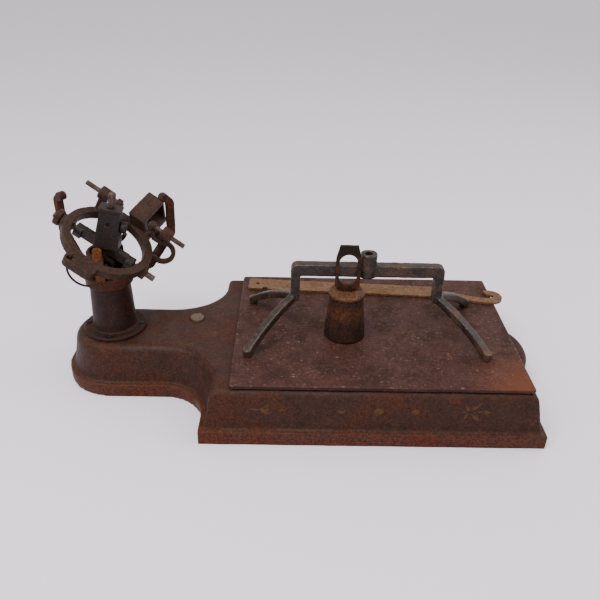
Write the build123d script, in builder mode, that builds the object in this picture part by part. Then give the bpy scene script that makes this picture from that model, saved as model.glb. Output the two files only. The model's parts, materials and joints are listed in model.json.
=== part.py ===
from build123d import *
from math import atan2, cos, degrees, hypot, radians, sin
import os

# Cast-iron counter platform scale: a low box with a neck, a pillar with a yoke that carries the
# beam lever, and the loose pieces that lie on the platform. Millimetres, +Z up, the base stands
# on z = 0, and the origin is under the middle of the overall outline.

os.makedirs("parts", exist_ok=True)

# ---------------------------------------------------------------- driving dimensions
# base casting
block_length = 370.0
block_depth = 270.0
base_height = 60.0
plinth_height = 16.5
plinth_ledge = 3.0
wall = 6.0
wall_draft = 10.0
top_round = 10.0
neck_radius = 58.0
neck_reach = 110.6
flare_radius = 48.0
lobe_reach = 12.0
lobe_chord = 78.0
lobe_height = 38.0
lobe_draft = 3.0

# platform
platform_length = 321.0
platform_margin = 16.5
plate_thickness = 4.5
platform_gap = 1.0
platform_corner = 3.0
well_margin = 18.0
well_corner = 12.0

# pillar
flange_radius = 36.0
flange_thickness = 5.0
pillar_foot_radius = 25.0
pillar_neck_radius = 22.6
pillar_top_radius = 21.5
pillar_bore_radius = 17.0
pillar_top = 160.0
collar_bottom = 121.0
notch_bottom = 141.5
pillar_screw_radius = 3.2
pillar_screw_circle = 31.0
pillar_screw_count = 4
pillar_screw_start = 180.0
screw_head_height = 0.8
screw_slot_width = 0.9

# yoke
collar_height = 12.0
collar_wall = 5.0
arm_width = 9.0
arm_depth = 8.0
horn_right = (66.0, 47.0)
horn_left = (-60.0, 46.0)
horn_top = 207.0
horn_foot = 162.0
horn_hook = 7.0
horn_bead_radius = 5.2
stop_tab_width = 10.0
stop_tab_thickness = 4.0
stop_tab_top = 173.0
stop_tab_shift = -2.4

# beam lever, which lies cocked to the right on its pins
lever_azimuth = -11.6
lever_dip = 31.6
lever_roll = 5.3
ring_height = 168.9
ring_shift = 3.3
ring_inner = 41.0
ring_outer = 50.5
ring_thickness = 10.5
pin_shift = 7.0
fulcrum_back = 35.0
fulcrum_rise = 27.0
fulcrum_pin_radius = 2.8
fulcrum_pin_tip = 64.0
fulcrum_pin_root = 17.0
ear_gauge = 40.0
ear_length = 12.0
ear_radius = 7.8
ear_foot_gauge = 14.0
ear_elbow_gauge = 31.0
ear_elbow_rise = 13.0
ear_thickness = 8.0
straight_ear_thickness = 10.4
load_back = -3.0
load_drop = -5.0
load_pin_radius = 3.5
load_pin_tip = 64.0
load_pin_root = 26.0
load_boss_radius = 8.0
nose_width = 36.0
nose_reach = 12.0
nose_shift = -4.0
socket_width = 21.0
socket_rise = 18.0
socket_height = 28.0
socket_length = 56.0
socket_wall = 4.0
socket_floor = 8.0
socket_rim = 3.5
socket_overlap = 8.0

# stirrup, its eye and the rod down to the long lever
stirrup_eye_radius = 8.0
stirrup_eye_length = 9.0
stirrup_bar_rise = 8.0
stirrup_bar_drop = 4.0
stirrup_bar_thickness = 8.0
head_bottom = 166.0
head_height = 47.0
head_lean = 12.0
head_base_width = 27.0
head_base_depth = 20.0
head_top_width = 21.0
head_top_depth = 16.0
head_cap_width = 24.0
head_cap_depth = 18.0
head_cap_height = 4.0
stem_radius = 4.0
stem_length = 17.0
dimple_radius = 2.2
side_screw_radius = 6.5
side_screw_length = 5.0
hook_ring_radius = 6.5
hook_wire_radius = 2.5
rod_radius = 3.0
eye_drop = 22.0

# levers inside the base
lever_height = 24.0
lever_depth = 12.0
lever_width = 12.0
pivot_gauge = 80.0
pivot_radius = 4.0
pivot_length = 30.0
tip_pin_radius = 3.0
tip_fork_width = 4.0
load_arm = 36.0
long_fulcrum_inset = 41.3
short_fulcrum_inset = 40.7
bridge_bottom = 34.0
bridge_depth = 8.0
bridge_half_width = 30.0
stand_width = 10.0
stand_inset = 5.0
stand_bottom = 5.0
foot_width = 10.0
foot_depth = 14.0
link_clearance = 0.3
running_clearance = 0.05

# shackles, loop and wire
shackle_thickness = 6.0
shackle_gauge = 22.0
shackle_eye_radius = 5.4
shackle_radius = 12.0
shackle_bar = 5.0
shackle_drop = 33.0
shackle_shift = 8.7
shackle_turn = 4.0
shackle_arc = 250.0
loop_radius = 9.5
loop_thickness = 7.0
loop_gap = 3.5
wire_radius = 1.2
wire_loop_radius = 20.0
wire_along = -16.0
wire_hole_radius = 2.8
wire_hole_angle = 150.0
wire_arc_start = 122.0
wire_arc = 190.0

# cradle
cradle_place = (-11.9, -8.0)
cradle_half_span = 80.6
cradle_top = 152.5
cradle_bar_depth = 14.5
cradle_bar_width = 12.0
cradle_post_width = 10.5
cradle_crotch = 106.0
cradle_foot_reach = 51.0
cradle_foot_gauge = 57.0
cradle_leg_width = 9.0
cradle_leg_rise = 5.0
cradle_foot_radius = 5.4
cradle_foot_height = 5.0
hub_radius = 9.5
hub_bore_radius = 4.6
hub_top = 166.0
hub_bottom = 137.0

# counter weight
weight_place = (-34.6, -17.0)
weight_base_radius = 23.5
weight_top_radius = 19.0
weight_height = 57.5
weight_rim_height = 6.0
weight_rim_radius = 20.2
weight_edge_break = 1.5
hanger_width = 28.0
hanger_top_width = 20.0
hanger_height = 56.0
hanger_thickness = 3.2
hanger_tenon = 8.0
hanger_round = 9.0
hanger_shoulder = 16.0
hanger_tenon_width = 12.0
hanger_slot_width = 20.0
hanger_slot_height = 37.0
hanger_slot_bottom = 8.0
lead_radius = 7.0
lead_depth = 20.0
lead_recess = 0.5

# weigh beam, lying on the platform
beam_thickness = 4.0
beam_width = 24.0
beam_place = (-151.9, 93.0)
beam_length = 245.0
beam_yaw = -3.4
tail_width = 11.0
tail_root = (-8.0, -2.0)
tail_bend = (24.0, -8.0)
tail_drop = (48.0, -15.0)
tail_end = (67.0, -15.0)
tail_curl = 9.5
tail_curl_angle = 200.0
beam_corner = 3.0
beam_hole_radius = 2.6
beam_hole_inset = 12.0
beam_notch_inset = 22.0
beam_notch_width = 6.0
beam_notch_depth = 4.0

# seal plug in the neck's top
seal_radius = 8.5
seal_height = 2.2
seal_depth = 4.0
seal_place = (93.6, 20.0)

# ---------------------------------------------------------------- worked-out places
horn_reach = hypot(horn_left[0], horn_left[1])
horn_overhang = (arm_depth * -horn_left[0] + arm_width * horn_left[1]) / (2 * horn_reach)
left_reach = max(neck_radius, horn_overhang - horn_left[0])
overall_length = left_reach + neck_reach + block_length + lobe_reach
block_right = overall_length / 2 - lobe_reach
block_left = block_right - block_length
block_middle = (block_left + block_right) / 2
pillar_x = block_left - neck_reach

plate_bottom = base_height + platform_gap
platform_top = plate_bottom + plate_thickness
platform_right = block_right - platform_margin
platform_left = platform_right - platform_length
platform_middle = (platform_left + platform_right) / 2
platform_depth = block_depth - 2 * platform_margin
cradle_centre = (platform_middle + cradle_place[0], cradle_place[1])
weight_centre = (platform_middle + weight_place[0], weight_place[1])
beam_left = (platform_middle + beam_place[0], beam_place[1])

long_fulcrum_x = block_right - long_fulcrum_inset
long_load_x = long_fulcrum_x - load_arm
short_fulcrum_x = block_left + short_fulcrum_inset
short_load_x = short_fulcrum_x + load_arm
bridge_x = (long_fulcrum_x + short_fulcrum_x) / 2

azimuth = radians(lever_azimuth)
dip = radians(lever_dip)
roll = radians(lever_roll)
pin_dir = Vector(cos(dip) * cos(azimuth), cos(dip) * sin(azimuth), -sin(dip))
level_back = Vector(-sin(azimuth), cos(azimuth), 0)
level_up = pin_dir.cross(level_back)
ring_normal = level_up * cos(roll) - level_back * sin(roll)
ring_centre = Vector(pillar_x + ring_shift, 0, ring_height)
lever_plane = Plane(origin=ring_centre, x_dir=pin_dir, z_dir=ring_normal)
ring_back = lever_plane.y_dir


def lever_point(along, back, rise):
    """A place in the beam lever's own frame: along the pins, towards the socket, off the ring."""
    return ring_centre + pin_dir * along + ring_back * back + ring_normal * rise


def rod_plane(start, end):
    """The plane at start whose normal points at end."""
    return Plane(origin=start, z_dir=(end - start).normalized())


def round_bar(start, end, radius, mode=Mode.ADD):
    """A round bar between two places."""
    with BuildSketch(rod_plane(start, end)) as section:
        Circle(radius)
    extrude(section.sketch, amount=(end - start).length, mode=mode)


def bent_bar(points, radius):
    """A round bar through several places, with a ball at each corner."""
    for start, end in zip(points, points[1:]):
        round_bar(start, end, radius)
    for corner in points[1:-1]:
        with Locations(corner):
            Sphere(radius)


def wire_ring(centre, x_dir, z_dir, ring_radius, wire, start_angle=0.0, sweep_angle=360.0):
    """A round-wire ring, or an arc of one, in the plane whose normal is z_dir."""
    turn = radians(start_angle)
    outward = x_dir * cos(turn) + z_dir.cross(x_dir) * sin(turn)
    with BuildSketch(Plane(origin=centre, x_dir=outward, z_dir=outward.cross(z_dir))) as section:
        with Locations((ring_radius, 0)):
            Circle(wire)
    revolve(section.sketch, axis=Axis(centre, z_dir), revolution_arc=sweep_angle)


# ---------------------------------------------------------------- base casting
def base_outline(inset):
    """The base's plan: a block, a round-ended neck and the two hollow flares between them."""
    with Locations((block_middle, 0)):
        Rectangle(block_length, block_depth)
    with Locations((pillar_x, 0)):
        Circle(neck_radius)
    with Locations(((pillar_x + block_left) / 2, 0)):
        Rectangle(neck_reach, 2 * neck_radius)
    for side in (-1, 1):
        flare_y = side * (neck_radius + flare_radius)
        with Locations((block_left - flare_radius / 2, side * (neck_radius + flare_radius / 2))):
            Rectangle(flare_radius, flare_radius)
        with Locations((block_left - flare_radius, flare_y)):
            Circle(flare_radius, mode=Mode.SUBTRACT)
    if inset:
        offset(amount=-inset, kind=Kind.INTERSECTION)


with BuildPart() as base_casting:
    # rounded finger lobe at the right-hand end, low down
    lobe_radius = ((lobe_chord / 2) ** 2 + lobe_reach**2) / (2 * lobe_reach)
    lobe_x = block_right + lobe_reach - lobe_radius
    with BuildSketch(Plane.XY):
        with Locations((lobe_x, 0)):
            Circle(lobe_radius)
        with Locations((block_right - wall / 2 + lobe_reach, 0)):
            Rectangle(2 * lobe_reach + wall, lobe_chord + 2 * lobe_reach, mode=Mode.INTERSECT)
    extrude(amount=lobe_height, taper=lobe_draft)
    fillet(base_casting.edges().group_by(Axis.Z)[-1].sort_by(Axis.X)[-1], lobe_reach / 3)

    # upper body, drafted and rounded over at the top
    with BuildSketch(Plane.XY):
        base_outline(plinth_ledge)
    extrude(amount=base_height, taper=wall_draft)
    top_edges = base_casting.faces().sort_by(Axis.Z)[-1].outer_wire().edges()
    fillet(top_edges, top_round)

    # straight plinth band
    with BuildSketch(Plane.XY):
        base_outline(0)
    extrude(amount=plinth_height)

    # the hollow inside, open at the bottom
    with BuildSketch(Plane.XY):
        base_outline(plinth_ledge + wall)
    extrude(amount=base_height - wall, taper=wall_draft, mode=Mode.SUBTRACT)

    # the well under the platform
    with BuildSketch(Plane.XY.offset(base_height / 2)):
        with Locations((platform_middle, 0)):
            RectangleRounded(platform_length - 2 * well_margin, platform_depth - 2 * well_margin,
                             well_corner)
    extrude(amount=base_height, mode=Mode.SUBTRACT)

    # the rod's way down through the neck, the seal's pocket and the flange's screw holes
    with BuildSketch(Plane.XY.offset(base_height)):
        with Locations((pillar_x, 0)):
            Circle(pillar_bore_radius)
    extrude(amount=-2 * wall, mode=Mode.SUBTRACT)
    with BuildSketch(Plane.XY.offset(base_height)):
        with Locations((pillar_x + seal_place[0], seal_place[1])):
            Circle(seal_radius)
    extrude(amount=-seal_depth, mode=Mode.SUBTRACT)
    with BuildSketch(Plane.XY.offset(base_height)):
        with Locations((pillar_x, 0)):
            with PolarLocations(pillar_screw_circle, pillar_screw_count, pillar_screw_start):
                Circle(pillar_screw_radius)
    extrude(amount=-2 * wall, mode=Mode.SUBTRACT)
base_casting.part.label = "base_casting"
export_step(base_casting.part, "parts/base_casting.step")

with BuildPart() as seal_plug:
    with BuildSketch(Plane.XY.offset(base_height - seal_depth)):
        with Locations((pillar_x + seal_place[0], seal_place[1])):
            Circle(seal_radius)
    extrude(amount=seal_depth + seal_height)
    fillet(seal_plug.edges().group_by(Axis.Z)[-1], seal_height / 2)
seal_plug.part.label = "seal_plug"
export_step(seal_plug.part, "parts/seal_plug.step")

# ---------------------------------------------------------------- pillar and its screws
flange_top = base_height + flange_thickness
with BuildPart() as pillar:
    with BuildSketch(Plane.XZ):
        with BuildLine():
            Polyline(
                (pillar_x + pillar_bore_radius, base_height),
                (pillar_x + flange_radius, base_height),
                (pillar_x + flange_radius, flange_top),
                (pillar_x + pillar_foot_radius, flange_top),
                (pillar_x + pillar_neck_radius, collar_bottom),
                (pillar_x + pillar_top_radius, collar_bottom),
                (pillar_x + pillar_top_radius, pillar_top),
                (pillar_x + pillar_bore_radius, pillar_top),
                close=True,
            )
        make_face()
    revolve(axis=Axis((pillar_x, 0, 0), (0, 0, 1)))
    foot_corner = pillar.edges().filter_by(GeomType.CIRCLE).filter_by(
        lambda edge: abs(edge.radius - pillar_foot_radius) < 0.01)
    fillet(foot_corner, pillar_screw_circle - pillar_screw_radius - pillar_foot_radius - link_clearance)
    flange_rim = pillar.edges().filter_by(GeomType.CIRCLE).filter_by(
        lambda edge: abs(edge.radius - flange_radius) < 0.01).sort_by(Axis.Z)[-1]
    fillet(flange_rim, flange_thickness / 2.5)
    # the front right of the top is cut down, so that the stirrup's bar can pass
    with BuildSketch(Plane.XY.offset(notch_bottom)):
        with Locations((pillar_x + pillar_top_radius, -pillar_top_radius / 2)):
            Rectangle(2 * pillar_top_radius + 8, 2.2 * pillar_top_radius)
    extrude(amount=pillar_top, mode=Mode.SUBTRACT)
    with BuildSketch(Plane.XY.offset(flange_top)):
        with Locations((pillar_x, 0)):
            with PolarLocations(pillar_screw_circle, pillar_screw_count, pillar_screw_start):
                Circle(pillar_screw_radius)
    extrude(amount=-flange_thickness, mode=Mode.SUBTRACT)
pillar.part.label = "pillar"
export_step(pillar.part, "parts/pillar.step")

with BuildPart() as pillar_screws:
    with BuildSketch(Plane.XY.offset(base_height - wall)):
        with Locations((pillar_x, 0)):
            with PolarLocations(pillar_screw_circle, pillar_screw_count, pillar_screw_start):
                Circle(pillar_screw_radius)
    extrude(amount=wall + flange_thickness + screw_head_height)
    with BuildSketch(Plane.XY.offset(flange_top + screw_head_height)):
        with Locations((pillar_x, 0)):
            with PolarLocations(pillar_screw_circle, pillar_screw_count, pillar_screw_start):
                Rectangle(screw_slot_width, 3 * pillar_screw_radius)
    extrude(amount=-screw_head_height, mode=Mode.SUBTRACT)
pillar_screws.part.label = "pillar_screws"
export_step(pillar_screws.part, "parts/pillar_screws.step")

# ---------------------------------------------------------------- yoke on the pillar
collar_radius = pillar_top_radius + collar_wall


def yoke_arm(horn):
    """One strap of the yoke: out from the collar, up as a horn, with a beaded inward hook."""
    reach = hypot(horn[0], horn[1])
    out = Vector(horn[0] / reach, horn[1] / reach, 0)
    arm_plane = Plane(origin=(pillar_x, 0, 0), x_dir=out, z_dir=out.cross(Vector(0, 0, 1)))
    arm_height = collar_bottom + collar_height / 2
    with BuildSketch(arm_plane.offset(-arm_width / 2)) as strap:
        with BuildLine():
            FilletPolyline(
                (pillar_top_radius + collar_wall / 2, arm_height),
                (reach * 0.62, arm_height + 1),
                (reach - 1, horn_foot),
                (reach, horn_top - horn_hook),
                (reach - horn_hook, horn_top),
                radius=arm_depth / 1.6,
            )
        trace(line_width=arm_depth)
        with Locations((reach - horn_hook, horn_top - horn_bead_radius + arm_depth / 2)):
            Circle(horn_bead_radius)
    extrude(strap.sketch, amount=arm_width)


with BuildPart() as beam_yoke:
    with BuildSketch(Plane.XY.offset(collar_bottom)):
        with Locations((pillar_x, 0)):
            Circle(collar_radius)
    extrude(amount=collar_height)
    yoke_arm(horn_right)
    yoke_arm(horn_left)
    with BuildSketch(Plane.XY.offset(collar_bottom)):
        with Locations((pillar_x, 0)):
            Circle(pillar_top_radius)
    extrude(amount=collar_height, mode=Mode.SUBTRACT)
beam_yoke.part.label = "beam_yoke"
export_step(beam_yoke.part, "parts/beam_yoke.step")

with BuildPart() as stop_tab:
    with BuildSketch(Plane.XY.offset(collar_bottom + collar_height)):
        with Locations((pillar_x + stop_tab_shift, -pillar_top_radius - stop_tab_thickness / 2)):
            Rectangle(stop_tab_width, stop_tab_thickness)
    extrude(amount=stop_tab_top - collar_bottom - collar_height)
    fillet(stop_tab.edges().filter_by(Axis.Y).group_by(Axis.Z)[-1], stop_tab_width / 3)
stop_tab.part.label = "stop_tab"
export_step(stop_tab.part, "parts/stop_tab.step")

# ---------------------------------------------------------------- beam lever
with BuildPart() as beam_lever:
    with BuildSketch(lever_plane.offset(-ring_thickness / 2)):
        Circle(ring_outer)
        with Locations((nose_shift, -ring_outer)):
            RectangleRounded(nose_width, 2 * nose_reach, nose_reach * 0.6)
        with Locations((pin_shift, ring_outer)):
            Rectangle(2 * ear_foot_gauge + ear_thickness, 8)
        Circle(ring_inner, mode=Mode.SUBTRACT)
    extrude(amount=ring_thickness)
    for side in (-1, 1):
        # the ear that carries the fulcrum pin: the left one stands straight up on the rim, and the
        # right one bends round the shackle that hangs inside it
        tip = lever_point(pin_shift + side * ear_gauge, fulcrum_back, fulcrum_rise)
        if side < 0:
            rim_share = (ring_inner + ring_outer) / 2 / hypot(pin_shift - ear_gauge, fulcrum_back)
            root = lever_point((pin_shift - ear_gauge) * rim_share, fulcrum_back * rim_share, 0)
            bent_bar((root, tip), straight_ear_thickness / 2)
        else:
            root = lever_point(pin_shift + ear_foot_gauge, ring_outer - 5, 0)
            elbow = lever_point(pin_shift + ear_elbow_gauge, ring_outer - 5, ear_elbow_rise)
            bent_bar((root, elbow, tip), ear_thickness / 2)
        boss = lever_point(pin_shift + side * (ear_gauge - ear_length / 2), fulcrum_back, fulcrum_rise)
        boss_end = lever_point(pin_shift + side * (ear_gauge + ear_length / 2), fulcrum_back, fulcrum_rise)
        round_bar(boss, boss_end, ear_radius)
        # the boss in the rim that holds the load pin
        rim_start = lever_point(side * (ring_inner - 1), load_back, load_drop)
        rim_end = lever_point(side * (ring_outer + 3), load_back, load_drop)
        round_bar(rim_start, rim_end, load_boss_radius)
    # the socket for the weigh beam: an upright box behind the ring, open on its right-hand side
    socket_plane = Plane(origin=lever_point(pin_shift, ring_outer - socket_overlap, socket_rise),
                         x_dir=pin_dir, z_dir=ring_back)
    fall_along = -Vector(0, 0, 1).dot(socket_plane.x_dir)
    fall_across = -Vector(0, 0, 1).dot(socket_plane.y_dir)

    def socket_section(left, right, start, end):
        """An upright section of the socket between two places across it and two depths."""
        corners = [(across + depth * fall_along, depth * fall_across)
                   for across, depth in ((left, start), (right, start), (right, end), (left, end))]
        with BuildSketch(Plane.XY) as flat_section:
            with BuildLine():
                Polyline(*corners, close=True)
            make_face()
        return flat_section.sketch

    half_socket = socket_width / 2
    outside = socket_section(-half_socket, half_socket, 0, socket_height)
    extrude(socket_plane * outside, amount=socket_length, dir=ring_back)
    hollow = socket_section(socket_wall - half_socket, 2 * half_socket, socket_wall,
                            socket_height - socket_wall)
    extrude(socket_plane.offset(socket_floor) * hollow, dir=ring_back,
            amount=socket_length - socket_floor - socket_rim, mode=Mode.SUBTRACT)
    # bores for the four pins and the hole in the nose for the wire
    for side in (-1, 1):
        fulcrum_start = lever_point(pin_shift + side * (fulcrum_pin_root - 2), fulcrum_back, fulcrum_rise)
        fulcrum_end = lever_point(pin_shift + side * fulcrum_pin_tip, fulcrum_back, fulcrum_rise)
        round_bar(fulcrum_start, fulcrum_end, fulcrum_pin_radius, Mode.SUBTRACT)
        load_start = lever_point(side * load_pin_root, load_back, load_drop)
        load_end = lever_point(side * load_pin_tip, load_back, load_drop)
        round_bar(load_start, load_end, load_pin_radius, Mode.SUBTRACT)
    nose_hole = lever_point(wire_along, -ring_outer - nose_reach / 2, -ring_thickness)
    nose_hole_end = lever_point(wire_along, -ring_outer - nose_reach / 2, ring_thickness)
    round_bar(nose_hole, nose_hole_end, wire_hole_radius, Mode.SUBTRACT)
beam_lever.part.label = "beam_lever"
export_step(beam_lever.part, "parts/beam_lever.step")

with BuildPart() as fulcrum_pins:
    for side in (-1, 1):
        pin_start = lever_point(pin_shift + side * fulcrum_pin_root, fulcrum_back, fulcrum_rise)
        pin_end = lever_point(pin_shift + side * fulcrum_pin_tip, fulcrum_back, fulcrum_rise)
        round_bar(pin_start, pin_end, fulcrum_pin_radius)
fulcrum_pins.part.label = "fulcrum_pins"
export_step(fulcrum_pins.part, "parts/fulcrum_pins.step")

with BuildPart() as load_pins:
    for side in (-1, 1):
        pin_start = lever_point(side * load_pin_root, load_back, load_drop)
        pin_end = lever_point(side * load_pin_tip, load_back, load_drop)
        round_bar(pin_start, pin_end, load_pin_radius)
load_pins.part.label = "load_pins"
export_step(load_pins.part, "parts/load_pins.step")

# ---------------------------------------------------------------- stirrup on the load pins
load_centre = lever_point(0, load_back, load_drop)
lean = radians(head_lean)
head_up = Vector(sin(lean), 0, cos(lean))
head_base = Vector(pillar_x + ring_shift, load_centre.Y, head_bottom)
head_plane = Plane(origin=head_base, x_dir=(cos(lean), 0, -sin(lean)), z_dir=head_up)
eye_inner = load_pin_root + 1.5
with BuildPart() as load_stirrup:
    # the deep bar between the two eyes
    bar_plane = Plane(origin=load_centre, x_dir=pin_dir, z_dir=ring_back)
    with BuildSketch(bar_plane.offset(-stirrup_bar_thickness / 2)):
        with Locations((0, (stirrup_bar_drop - stirrup_bar_rise) / 2)):
            Rectangle(2 * eye_inner, stirrup_bar_rise + stirrup_bar_drop)
    extrude(amount=stirrup_bar_thickness)
    # eyes that sit on the load pins
    for side in (-1, 1):
        eye_start = lever_point(side * eye_inner, load_back, load_drop)
        eye_end = lever_point(side * (eye_inner + stirrup_eye_length), load_back, load_drop)
        round_bar(eye_start, eye_end, stirrup_eye_radius)
    # the tapered head that stands on the bar
    with BuildSketch(head_plane):
        Rectangle(head_base_width, head_base_depth)
    with BuildSketch(head_plane.offset(head_height)):
        Rectangle(head_top_width, head_top_depth)
    loft()
    with BuildSketch(head_plane.offset(head_height - head_cap_height)):
        Rectangle(head_cap_width, head_cap_depth)
    extrude(amount=head_cap_height)
    for side in (-1, 1):
        bore_start = lever_point(side * (load_pin_root - 2), load_back, load_drop)
        bore_end = lever_point(side * load_pin_tip, load_back, load_drop)
        round_bar(bore_start, bore_end, load_pin_radius + running_clearance, Mode.SUBTRACT)
    # dimple on the front of the head
    dimple_plane = Plane(origin=head_plane.from_local_coords((0, -head_base_depth / 2, head_height * 0.62)),
                         x_dir=(1, 0, 0), z_dir=(0, -1, 0))
    with BuildSketch(dimple_plane):
        Circle(dimple_radius)
    extrude(amount=-head_base_depth / 5, mode=Mode.SUBTRACT)
load_stirrup.part.label = "load_stirrup"
export_step(load_stirrup.part, "parts/load_stirrup.step")

with BuildPart() as stirrup_stem:
    stem_start = head_base + head_up * head_height
    stem_end = stem_start + head_up * stem_length
    round_bar(stem_start, stem_end, stem_radius)
    fillet(stirrup_stem.edges().sort_by(Axis.Z)[-1], stem_radius * 0.6)
stirrup_stem.part.label = "stirrup_stem"
export_step(stirrup_stem.part, "parts/stirrup_stem.step")

with BuildPart() as side_screw:
    screw_start = head_plane.from_local_coords((head_base_width / 2 - 1.0, 0, head_height * 0.55))
    screw_end = head_plane.from_local_coords((head_base_width / 2 + side_screw_length, 0, head_height * 0.55))
    round_bar(screw_start, screw_end, side_screw_radius)
    with BuildSketch(head_plane):
        Rectangle(head_base_width, head_base_depth)
    with BuildSketch(head_plane.offset(head_height)):
        Rectangle(head_top_width, head_top_depth)
    loft(mode=Mode.SUBTRACT)
side_screw.part.label = "side_screw"
export_step(side_screw.part, "parts/side_screw.step")

eye_centre = load_centre - Vector(0, 0, eye_drop)
with BuildPart() as stirrup_eye:
    wire_ring(eye_centre, Vector(1, 0, 0), Vector(0, 1, 0), hook_ring_radius, hook_wire_radius)
    round_bar(eye_centre + Vector(0, 0, hook_ring_radius), load_centre, rod_radius)
    with BuildSketch(bar_plane.offset(-stirrup_bar_thickness)):
        with Locations((0, (stirrup_bar_drop - stirrup_bar_rise) / 2)):
            Rectangle(2 * eye_inner, stirrup_bar_rise + stirrup_bar_drop)
    extrude(amount=2 * stirrup_bar_thickness, mode=Mode.SUBTRACT)
stirrup_eye.part.label = "stirrup_eye"
export_step(stirrup_eye.part, "parts/stirrup_eye.step")

rod_top = eye_centre - Vector(0, 0, hook_ring_radius)
tip_centre = Vector(load_centre.X, load_centre.Y, lever_height)
tip_eye_inner = pivot_radius + 2 * link_clearance
with BuildPart() as steelyard_rod:
    # the upper eye is linked through the stirrup's eye
    wire_ring(rod_top, Vector(0, 1, 0), Vector(1, 0, 0), hook_ring_radius, hook_wire_radius)
    round_bar(rod_top - Vector(0, 0, hook_ring_radius), tip_centre + Vector(0, 0, tip_eye_inner + 1),
              rod_radius)
    # the lower eye holds the long lever's tip pin
    lower_start = tip_centre - Vector(0, rod_radius, 0)
    lower_end = tip_centre + Vector(0, rod_radius, 0)
    round_bar(lower_start, lower_end, tip_eye_inner + rod_radius)
    round_bar(lower_start, lower_end, tip_eye_inner, Mode.SUBTRACT)
steelyard_rod.part.label = "steelyard_rod"
export_step(steelyard_rod.part, "parts/steelyard_rod.step")

# ---------------------------------------------------------------- levers inside the base
lever_bottom = lever_height - lever_depth / 2
arm_end_x = pillar_x + tip_eye_inner + rod_radius + 3
knee = foot_depth / 2 + lever_width


def plan_bar(start, end, width):
    """A straight bar in plan, with round ends."""
    length = hypot(end[0] - start[0], end[1] - start[1])
    turn = degrees(atan2(end[1] - start[1], end[0] - start[0]))
    middle = ((start[0] + end[0]) / 2, (start[1] + end[1]) / 2)
    with Locations(Location((middle[0], middle[1], 0), (0, 0, turn))):
        SlotCenterToCenter(length, width)


tip_fork_gauge = rod_radius + 4 * link_clearance + tip_fork_width / 2
with BuildPart() as long_lever:
    with BuildSketch(Plane.XY.offset(lever_bottom)):
        for side in (-1, 1):
            long_knee = (long_load_x - knee, side * pivot_gauge)
            plan_bar((long_fulcrum_x, side * pivot_gauge), long_knee, lever_width)
            plan_bar(long_knee, (bridge_x + load_arm / 2, 0), lever_width)
        plan_bar((bridge_x + load_arm / 2, 0), (arm_end_x + 4, 0), lever_width)
        # the forked tip that straddles the rod's lower eye
        for side in (-1, 1):
            fork_y = load_centre.Y + side * tip_fork_gauge
            plan_bar((arm_end_x + 4, fork_y), (pillar_x, fork_y), tip_fork_width)
    extrude(amount=lever_depth)
    # pad under the short lever's bridge
    with BuildSketch(Plane.XY.offset(lever_height)):
        with Locations((bridge_x, 0)):
            Circle(lever_width / 2.5)
    extrude(amount=bridge_bottom - lever_height - link_clearance)
    for side in (-1, 1):
        for pivot_x in (long_fulcrum_x, long_load_x):
            pivot_start = Vector(pivot_x, side * pivot_gauge - pivot_length, lever_height)
            pivot_end = Vector(pivot_x, side * pivot_gauge + pivot_length, lever_height)
            round_bar(pivot_start, pivot_end, pivot_radius, Mode.SUBTRACT)
    tip_start = tip_centre - Vector(0, tip_fork_gauge + tip_fork_width / 2, 0)
    tip_end = tip_centre + Vector(0, tip_fork_gauge + tip_fork_width / 2, 0)
    round_bar(tip_start, tip_end, tip_pin_radius, Mode.SUBTRACT)
long_lever.part.label = "long_lever"
export_step(long_lever.part, "parts/long_lever.step")

with BuildPart() as long_lever_pivots:
    for side in (-1, 1):
        for pivot_x in (long_fulcrum_x, long_load_x):
            pivot_start = Vector(pivot_x, side * pivot_gauge - pivot_length / 2, lever_height)
            pivot_end = Vector(pivot_x, side * pivot_gauge + pivot_length / 2, lever_height)
            round_bar(pivot_start, pivot_end, pivot_radius)
long_lever_pivots.part.label = "long_lever_pivots"
export_step(long_lever_pivots.part, "parts/long_lever_pivots.step")

with BuildPart() as tip_pin:
    round_bar(tip_start, tip_end, tip_pin_radius)
tip_pin.part.label = "tip_pin"
export_step(tip_pin.part, "parts/tip_pin.step")

with BuildPart() as short_lever:
    with BuildSketch(Plane.XY.offset(lever_bottom)):
        for side in (-1, 1):
            post_y = side * (bridge_half_width - lever_width / 2)
            short_knee = (short_load_x + knee, side * pivot_gauge)
            plan_bar((short_fulcrum_x, side * pivot_gauge), short_knee, lever_width)
            plan_bar(short_knee, (bridge_x, post_y), lever_width)
    extrude(amount=lever_depth)
    # posts and the bridge that presses down on the long lever
    with BuildSketch(Plane.XY.offset(lever_bottom)):
        for side in (-1, 1):
            with Locations((bridge_x, side * (bridge_half_width - lever_width / 2))):
                Circle(lever_width / 2)
    extrude(amount=bridge_bottom + bridge_depth - lever_bottom)
    with BuildSketch(Plane.XY.offset(bridge_bottom)):
        with Locations((bridge_x, 0)):
            SlotOverall(2 * bridge_half_width, lever_width, rotation=90)
    extrude(amount=bridge_depth)
    for side in (-1, 1):
        for pivot_x in (short_fulcrum_x, short_load_x):
            pivot_start = Vector(pivot_x, side * pivot_gauge - pivot_length, lever_height)
            pivot_end = Vector(pivot_x, side * pivot_gauge + pivot_length, lever_height)
            round_bar(pivot_start, pivot_end, pivot_radius, Mode.SUBTRACT)
short_lever.part.label = "short_lever"
export_step(short_lever.part, "parts/short_lever.step")

with BuildPart() as short_lever_pivots:
    for side in (-1, 1):
        for pivot_x in (short_fulcrum_x, short_load_x):
            pivot_start = Vector(pivot_x, side * pivot_gauge - pivot_length / 2, lever_height)
            pivot_end = Vector(pivot_x, side * pivot_gauge + pivot_length / 2, lever_height)
            round_bar(pivot_start, pivot_end, pivot_radius)
short_lever_pivots.part.label = "short_lever_pivots"
export_step(short_lever_pivots.part, "parts/short_lever_pivots.step")


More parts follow.
